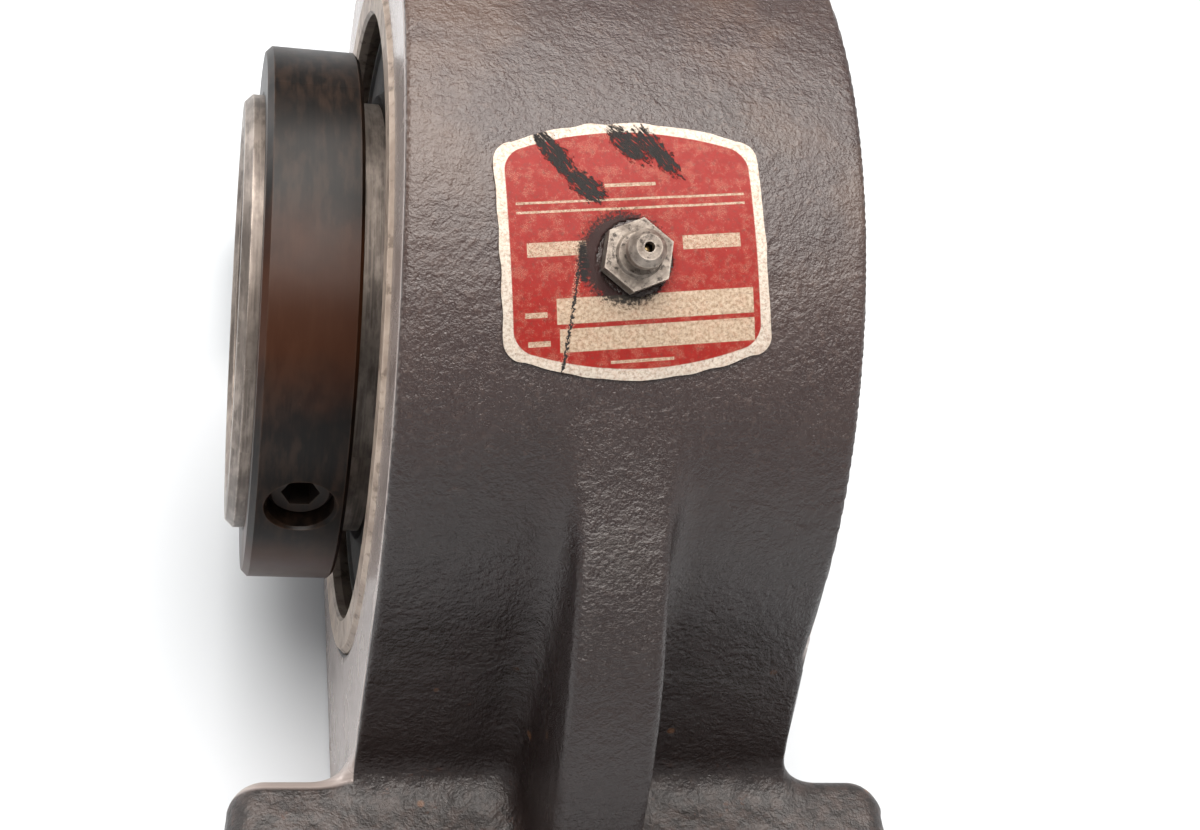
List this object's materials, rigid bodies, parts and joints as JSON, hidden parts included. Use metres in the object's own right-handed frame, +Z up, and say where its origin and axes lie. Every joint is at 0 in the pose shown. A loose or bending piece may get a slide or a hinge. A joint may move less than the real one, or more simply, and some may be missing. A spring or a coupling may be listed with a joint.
{
  "type": "pillow block bearing",
  "caption": "Cast iron pillow block with bolted base feet, end ribs, sealed self-aligning roller bearing, set-screw locking collar and angled lubrication fitting.",
  "frame": {"origin": "centre of the shaft bore, on the mid-plane of the housing", "axes": "+X along the shaft away from the locking collar, +Z up away from the base, -Y side carries the lubrication fitting and nameplate"},
  "size_m": [0.1315, 0.3048, 0.1689],
  "materials": {
    "cast_housing": "grey paint over rough casting",
    "foil_label": "printed foil, worn",
    "plated_steel": "zinc plated",
    "spring_steel": "drawn",
    "painted_ring": "cream paint",
    "bearing_steel": "ground",
    "inner_ring_steel": "turned, lightly oxidised",
    "black_oxide": "black oxide, turned",
    "seal_rubber": "matte",
    "pressed_steel": "phosphated",
    "cage_brass": "machined"
  },
  "bodies": {
    "housing_body": {"housing": "cast_housing", "nameplate": "foil_label", "grease_fitting": "plated_steel", "fitting_spring": "spring_steel", "front_closure_ring": "painted_ring", "rear_closure_ring": "painted_ring"},
    "fitting_valve": {"fitting_ball": "bearing_steel"},
    "cartridge": {"outer_ring": "bearing_steel", "front_seal_carrier": "pressed_steel", "rear_seal_carrier": "pressed_steel"},
    "alignment": {"front_seal": "seal_rubber", "rear_seal": "seal_rubber"},
    "rotor": {"inner_ring": "inner_ring_steel", "locking_collar": "black_oxide", "front_flinger": "pressed_steel", "rear_flinger": "pressed_steel"},
    "cage_body": {"cage": "cage_brass", "guide_ring": "bearing_steel"},
    "screw_1": {"set_screw_1": "black_oxide"},
    "screw_2": {"set_screw_2": "black_oxide"},
    "roller_front_01_body": {"roller_front_01": "bearing_steel"},
    "roller_front_02_body": {"roller_front_02": "bearing_steel"},
    "roller_front_03_body": {"roller_front_03": "bearing_steel"},
    "roller_front_04_body": {"roller_front_04": "bearing_steel"},
    "roller_front_05_body": {"roller_front_05": "bearing_steel"},
    "roller_front_06_body": {"roller_front_06": "bearing_steel"},
    "roller_front_07_body": {"roller_front_07": "bearing_steel"},
    "roller_front_08_body": {"roller_front_08": "bearing_steel"},
    "roller_front_09_body": {"roller_front_09": "bearing_steel"},
    "roller_front_10_body": {"roller_front_10": "bearing_steel"},
    "roller_front_11_body": {"roller_front_11": "bearing_steel"},
    "roller_front_12_body": {"roller_front_12": "bearing_steel"},
    "roller_front_13_body": {"roller_front_13": "bearing_steel"},
    "roller_front_14_body": {"roller_front_14": "bearing_steel"},
    "roller_rear_01_body": {"roller_rear_01": "bearing_steel"},
    "roller_rear_02_body": {"roller_rear_02": "bearing_steel"},
    "roller_rear_03_body": {"roller_rear_03": "bearing_steel"},
    "roller_rear_04_body": {"roller_rear_04": "bearing_steel"},
    "roller_rear_05_body": {"roller_rear_05": "bearing_steel"},
    "roller_rear_06_body": {"roller_rear_06": "bearing_steel"},
    "roller_rear_07_body": {"roller_rear_07": "bearing_steel"},
    "roller_rear_08_body": {"roller_rear_08": "bearing_steel"},
    "roller_rear_09_body": {"roller_rear_09": "bearing_steel"},
    "roller_rear_10_body": {"roller_rear_10": "bearing_steel"},
    "roller_rear_11_body": {"roller_rear_11": "bearing_steel"},
    "roller_rear_12_body": {"roller_rear_12": "bearing_steel"},
    "roller_rear_13_body": {"roller_rear_13": "bearing_steel"},
    "roller_rear_14_body": {"roller_rear_14": "bearing_steel"}
  },
  "joints": [
    {"name": "cartridge_float", "type": "slide", "parent": "housing_body", "child": "cartridge", "axis": [1, 0, 0], "range_m": [-0.002, 0.002]},
    {"name": "self_aligning_tilt", "type": "hinge", "parent": "cartridge", "child": "alignment", "pos_m": [0, 0, 0], "axis": [0, 1, 0], "range_deg": [-1, 1]},
    {"name": "shaft_spin", "type": "hinge", "parent": "alignment", "child": "rotor", "pos_m": [0, 0, 0], "axis": [1, 0, 0], "continuous": true},
    {"name": "cage_orbit", "type": "hinge", "parent": "alignment", "child": "cage_body", "pos_m": [0, 0, 0], "axis": [1, 0, 0], "continuous": true},
    {"name": "valve_ball_travel", "type": "slide", "parent": "housing_body", "child": "fitting_valve", "axis": [0, 0.7071, -0.7071], "range_m": [0, 0.0008], "stiffness_N_per_m": 200, "springref_m": -0.001, "deforming": ["fitting_spring"]},
    {"name": "set_screw_1_travel", "type": "slide", "parent": "rotor", "child": "screw_1", "axis": [0, -0.9962, -0.0872], "range_m": [0, 0.0035]},
    {"name": "set_screw_2_travel", "type": "slide", "parent": "rotor", "child": "screw_2", "axis": [0, 0.5736, -0.8192], "range_m": [0, 0.0035]},
    {"name": "roller_front_01_spin", "type": "hinge", "parent": "cage_body", "child": "roller_front_01_body", "pos_m": [-0.0115, -0.05284, -0.00595], "axis": [0.9774, -0.2101, -0.0237], "continuous": true},
    {"name": "roller_front_02_spin", "type": "hinge", "parent": "cage_body", "child": "roller_front_02_body", "pos_m": [-0.0115, -0.05019, 0.01756], "axis": [0.9774, -0.1995, 0.0698], "continuous": true},
    {"name": "roller_front_03_spin", "type": "hinge", "parent": "cage_body", "child": "roller_front_03_body", "pos_m": [-0.0115, -0.0376, 0.0376], "axis": [0.9774, -0.1495, 0.1495], "continuous": true},
    {"name": "roller_front_04_spin", "type": "hinge", "parent": "cage_body", "child": "roller_front_04_body", "pos_m": [-0.0115, -0.01756, 0.05019], "axis": [0.9774, -0.0698, 0.1995], "continuous": true},
    {"name": "roller_front_05_spin", "type": "hinge", "parent": "cage_body", "child": "roller_front_05_body", "pos_m": [-0.0115, 0.00595, 0.05284], "axis": [0.9774, 0.0237, 0.2101], "continuous": true},
    {"name": "roller_front_06_spin", "type": "hinge", "parent": "cage_body", "child": "roller_front_06_body", "pos_m": [-0.0115, 0.02829, 0.04502], "axis": [0.9774, 0.1125, 0.179], "continuous": true},
    {"name": "roller_front_07_spin", "type": "hinge", "parent": "cage_body", "child": "roller_front_07_body", "pos_m": [-0.0115, 0.04502, 0.02829], "axis": [0.9774, 0.179, 0.1125], "continuous": true},
    {"name": "roller_front_08_spin", "type": "hinge", "parent": "cage_body", "child": "roller_front_08_body", "pos_m": [-0.0115, 0.05284, 0.00595], "axis": [0.9774, 0.2101, 0.0237], "continuous": true},
    {"name": "roller_front_09_spin", "type": "hinge", "parent": "cage_body", "child": "roller_front_09_body", "pos_m": [-0.0115, 0.05019, -0.01756], "axis": [0.9774, 0.1995, -0.0698], "continuous": true},
    {"name": "roller_front_10_spin", "type": "hinge", "parent": "cage_body", "child": "roller_front_10_body", "pos_m": [-0.0115, 0.0376, -0.0376], "axis": [0.9774, 0.1495, -0.1495], "continuous": true},
    {"name": "roller_front_11_spin", "type": "hinge", "parent": "cage_body", "child": "roller_front_11_body", "pos_m": [-0.0115, 0.01756, -0.05019], "axis": [0.9774, 0.0698, -0.1995], "continuous": true},
    {"name": "roller_front_12_spin", "type": "hinge", "parent": "cage_body", "child": "roller_front_12_body", "pos_m": [-0.0115, -0.00595, -0.05284], "axis": [0.9774, -0.0237, -0.2101], "continuous": true},
    {"name": "roller_front_13_spin", "type": "hinge", "parent": "cage_body", "child": "roller_front_13_body", "pos_m": [-0.0115, -0.02829, -0.04502], "axis": [0.9774, -0.1125, -0.179], "continuous": true},
    {"name": "roller_front_14_spin", "type": "hinge", "parent": "cage_body", "child": "roller_front_14_body", "pos_m": [-0.0115, -0.04502, -0.02829], "axis": [0.9774, -0.179, -0.1125], "continuous": true},
    {"name": "roller_rear_01_spin", "type": "hinge", "parent": "cage_body", "child": "roller_rear_01_body", "pos_m": [0.0115, -0.05284, 0.00595], "axis": [0.9774, 0.2101, -0.0237], "continuous": true},
    {"name": "roller_rear_02_spin", "type": "hinge", "parent": "cage_body", "child": "roller_rear_02_body", "pos_m": [0.0115, -0.04502, 0.02829], "axis": [0.9774, 0.179, -0.1125], "continuous": true},
    {"name": "roller_rear_03_spin", "type": "hinge", "parent": "cage_body", "child": "roller_rear_03_body", "pos_m": [0.0115, -0.02829, 0.04502], "axis": [0.9774, 0.1125, -0.179], "continuous": true},
    {"name": "roller_rear_04_spin", "type": "hinge", "parent": "cage_body", "child": "roller_rear_04_body", "pos_m": [0.0115, -0.00595, 0.05284], "axis": [0.9774, 0.0237, -0.2101], "continuous": true},
    {"name": "roller_rear_05_spin", "type": "hinge", "parent": "cage_body", "child": "roller_rear_05_body", "pos_m": [0.0115, 0.01756, 0.05019], "axis": [0.9774, -0.0698, -0.1995], "continuous": true},
    {"name": "roller_rear_06_spin", "type": "hinge", "parent": "cage_body", "child": "roller_rear_06_body", "pos_m": [0.0115, 0.0376, 0.0376], "axis": [0.9774, -0.1495, -0.1495], "continuous": true},
    {"name": "roller_rear_07_spin", "type": "hinge", "parent": "cage_body", "child": "roller_rear_07_body", "pos_m": [0.0115, 0.05019, 0.01756], "axis": [0.9774, -0.1995, -0.0698], "continuous": true},
    {"name": "roller_rear_08_spin", "type": "hinge", "parent": "cage_body", "child": "roller_rear_08_body", "pos_m": [0.0115, 0.05284, -0.00595], "axis": [0.9774, -0.2101, 0.0237], "continuous": true},
    {"name": "roller_rear_09_spin", "type": "hinge", "parent": "cage_body", "child": "roller_rear_09_body", "pos_m": [0.0115, 0.04502, -0.02829], "axis": [0.9774, -0.179, 0.1125], "continuous": true},
    {"name": "roller_rear_10_spin", "type": "hinge", "parent": "cage_body", "child": "roller_rear_10_body", "pos_m": [0.0115, 0.02829, -0.04502], "axis": [0.9774, -0.1125, 0.179], "continuous": true},
    {"name": "roller_rear_11_spin", "type": "hinge", "parent": "cage_body", "child": "roller_rear_11_body", "pos_m": [0.0115, 0.00595, -0.05284], "axis": [0.9774, -0.0237, 0.2101], "continuous": true},
    {"name": "roller_rear_12_spin", "type": "hinge", "parent": "cage_body", "child": "roller_rear_12_body", "pos_m": [0.0115, -0.01756, -0.05019], "axis": [0.9774, 0.0698, 0.1995], "continuous": true},
    {"name": "roller_rear_13_spin", "type": "hinge", "parent": "cage_body", "child": "roller_rear_13_body", "pos_m": [0.0115, -0.0376, -0.0376], "axis": [0.9774, 0.1495, 0.1495], "continuous": true},
    {"name": "roller_rear_14_spin", "type": "hinge", "parent": "cage_body", "child": "roller_rear_14_body", "pos_m": [0.0115, -0.05019, -0.01756], "axis": [0.9774, 0.1995, 0.0698], "continuous": true}
  ],
  "couplings": [
    {"joint": "cage_orbit", "follows": "shaft_spin", "ratio": 0.4173},
    {"joint": "roller_front_01_spin", "follows": "shaft_spin", "ratio": -2.8732},
    {"joint": "roller_front_02_spin", "follows": "shaft_spin", "ratio": -2.8732},
    {"joint": "roller_front_03_spin", "follows": "shaft_spin", "ratio": -2.8732},
    {"joint": "roller_front_04_spin", "follows": "shaft_spin", "ratio": -2.8732},
    {"joint": "roller_front_05_spin", "follows": "shaft_spin", "ratio": -2.8732},
    {"joint": "roller_front_06_spin", "follows": "shaft_spin", "ratio": -2.8732},
    {"joint": "roller_front_07_spin", "follows": "shaft_spin", "ratio": -2.8732},
    {"joint": "roller_front_08_spin", "follows": "shaft_spin", "ratio": -2.8732},
    {"joint": "roller_front_09_spin", "follows": "shaft_spin", "ratio": -2.8732},
    {"joint": "roller_front_10_spin", "follows": "shaft_spin", "ratio": -2.8732},
    {"joint": "roller_front_11_spin", "follows": "shaft_spin", "ratio": -2.8732},
    {"joint": "roller_front_12_spin", "follows": "shaft_spin", "ratio": -2.8732},
    {"joint": "roller_front_13_spin", "follows": "shaft_spin", "ratio": -2.8732},
    {"joint": "roller_front_14_spin", "follows": "shaft_spin", "ratio": -2.8732},
    {"joint": "roller_rear_01_spin", "follows": "shaft_spin", "ratio": -2.8732},
    {"joint": "roller_rear_02_spin", "follows": "shaft_spin", "ratio": -2.8732},
    {"joint": "roller_rear_03_spin", "follows": "shaft_spin", "ratio": -2.8732},
    {"joint": "roller_rear_04_spin", "follows": "shaft_spin", "ratio": -2.8732},
    {"joint": "roller_rear_05_spin", "follows": "shaft_spin", "ratio": -2.8732},
    {"joint": "roller_rear_06_spin", "follows": "shaft_spin", "ratio": -2.8732},
    {"joint": "roller_rear_07_spin", "follows": "shaft_spin", "ratio": -2.8732},
    {"joint": "roller_rear_08_spin", "follows": "shaft_spin", "ratio": -2.8732},
    {"joint": "roller_rear_09_spin", "follows": "shaft_spin", "ratio": -2.8732},
    {"joint": "roller_rear_10_spin", "follows": "shaft_spin", "ratio": -2.8732},
    {"joint": "roller_rear_11_spin", "follows": "shaft_spin", "ratio": -2.8732},
    {"joint": "roller_rear_12_spin", "follows": "shaft_spin", "ratio": -2.8732},
    {"joint": "roller_rear_13_spin", "follows": "shaft_spin", "ratio": -2.8732},
    {"joint": "roller_rear_14_spin", "follows": "shaft_spin", "ratio": -2.8732}
  ]
}
